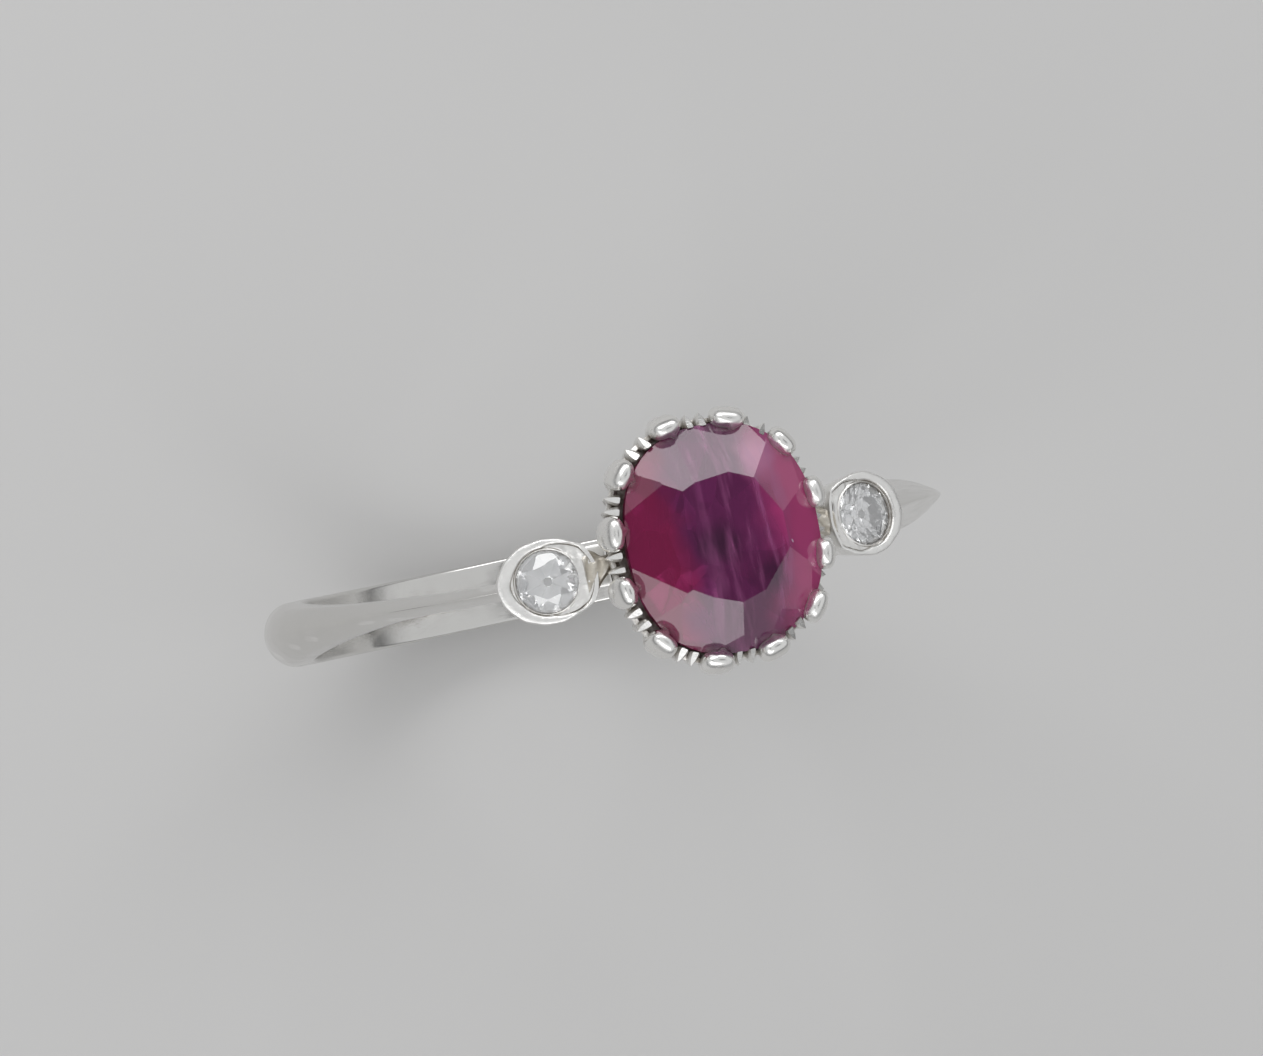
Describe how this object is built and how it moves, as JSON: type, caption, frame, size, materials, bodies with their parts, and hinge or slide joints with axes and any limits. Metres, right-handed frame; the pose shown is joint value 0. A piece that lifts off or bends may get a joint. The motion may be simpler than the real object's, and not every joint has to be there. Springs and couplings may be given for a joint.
{
  "type": "cocktail ring",
  "caption": "White metal dress ring with a cushion-cut ruby in a fluted claw coronet between round diamonds in rubbed-over collets, on tapering ridged shoulders.",
  "frame": {"origin": "centre of the finger bore, midway between the two side faces of the shank", "axes": "+Z from the bore's centre through the middle of the ruby, +Y along the bore, +X across the ring towards the right-hand diamond"},
  "size_m": [0.02, 0.0074, 0.0229],
  "materials": {
    "white_metal": "polished, with fine wear scratches and dull residue in the recesses",
    "ruby": "polished facets over a purplish pink body with silk",
    "diamond": "polished facets, colourless"
  },
  "bodies": {
    "root": {"shank": "white_metal", "left_shoulder": "white_metal", "right_shoulder": "white_metal", "left_gallery_bar": "white_metal", "right_gallery_bar": "white_metal", "coronet_base_ring": "white_metal", "coronet_cup": "white_metal", "ruby_bearing": "white_metal", "claw_01": "white_metal", "claw_02": "white_metal", "claw_03": "white_metal", "claw_04": "white_metal", "claw_05": "white_metal", "claw_06": "white_metal", "claw_07": "white_metal", "claw_08": "white_metal", "claw_09": "white_metal", "claw_10": "white_metal", "claw_11": "white_metal", "claw_12": "white_metal", "left_collet": "white_metal", "right_collet": "white_metal", "left_seat_plate": "white_metal", "right_seat_plate": "white_metal", "left_neck": "white_metal", "right_neck": "white_metal", "ruby": "ruby", "left_diamond": "diamond", "right_diamond": "diamond"}
  },
  "joints": []
}
